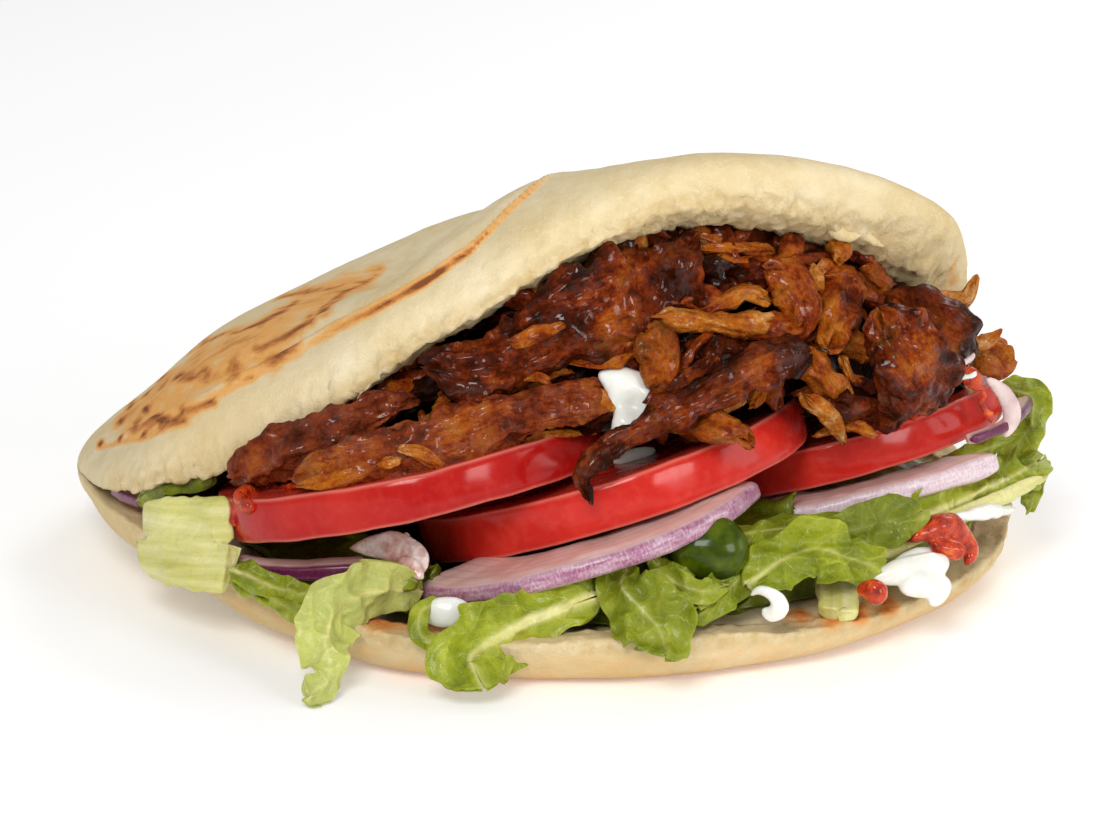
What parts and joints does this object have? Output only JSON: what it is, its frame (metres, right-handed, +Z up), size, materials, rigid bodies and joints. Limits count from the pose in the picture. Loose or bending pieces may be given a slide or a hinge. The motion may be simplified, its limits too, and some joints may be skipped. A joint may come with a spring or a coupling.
{
  "type": "doner kebab sandwich",
  "caption": "Flat bread pocket opened along its front and filled with carved doner meat, tomato slices, red onion, green pepper, lettuce and sauces.",
  "frame": {"origin": "bottom centre of the whole sandwich, on the table", "axes": "+Z up, the open mouth faces -Y, +X to the right as seen from the mouth"},
  "size_m": [0.1934, 0.1974, 0.093],
  "materials": {
    "bread": "baked flat bread, floury and matt",
    "tomato": "wet cut tomato",
    "onion": "raw red onion, satin",
    "lettuce": "fresh leaf, satin",
    "meat": "carved roast meat, oily",
    "pepper": "raw green pepper, glossy"
  },
  "bodies": {
    "root": {"bread": "bread", "green_pepper": "pepper", "lettuce_bed": "lettuce", "lettuce_leaf_curled": "lettuce", "lettuce_leaf_left": "lettuce", "lettuce_leaf_middle": "lettuce", "lettuce_leaf_right": "lettuce", "lettuce_rib_left": "lettuce", "lettuce_rib_right": "lettuce", "meat_chunk_front": "meat", "meat_end_right": "meat", "meat_heap": "meat", "meat_slice_big": "meat", "meat_slice_left_high": "meat", "meat_slice_left_low": "meat", "meat_slice_right": "meat", "meat_strip_front": "meat", "onion_slice_behind": "onion", "onion_slice_left": "onion", "onion_slice_middle": "onion", "onion_slice_right": "onion", "onion_tip_left": "onion", "tomato_slice_left": "tomato", "tomato_slice_middle": "tomato", "tomato_slice_right": "tomato"}
  },
  "joints": []
}
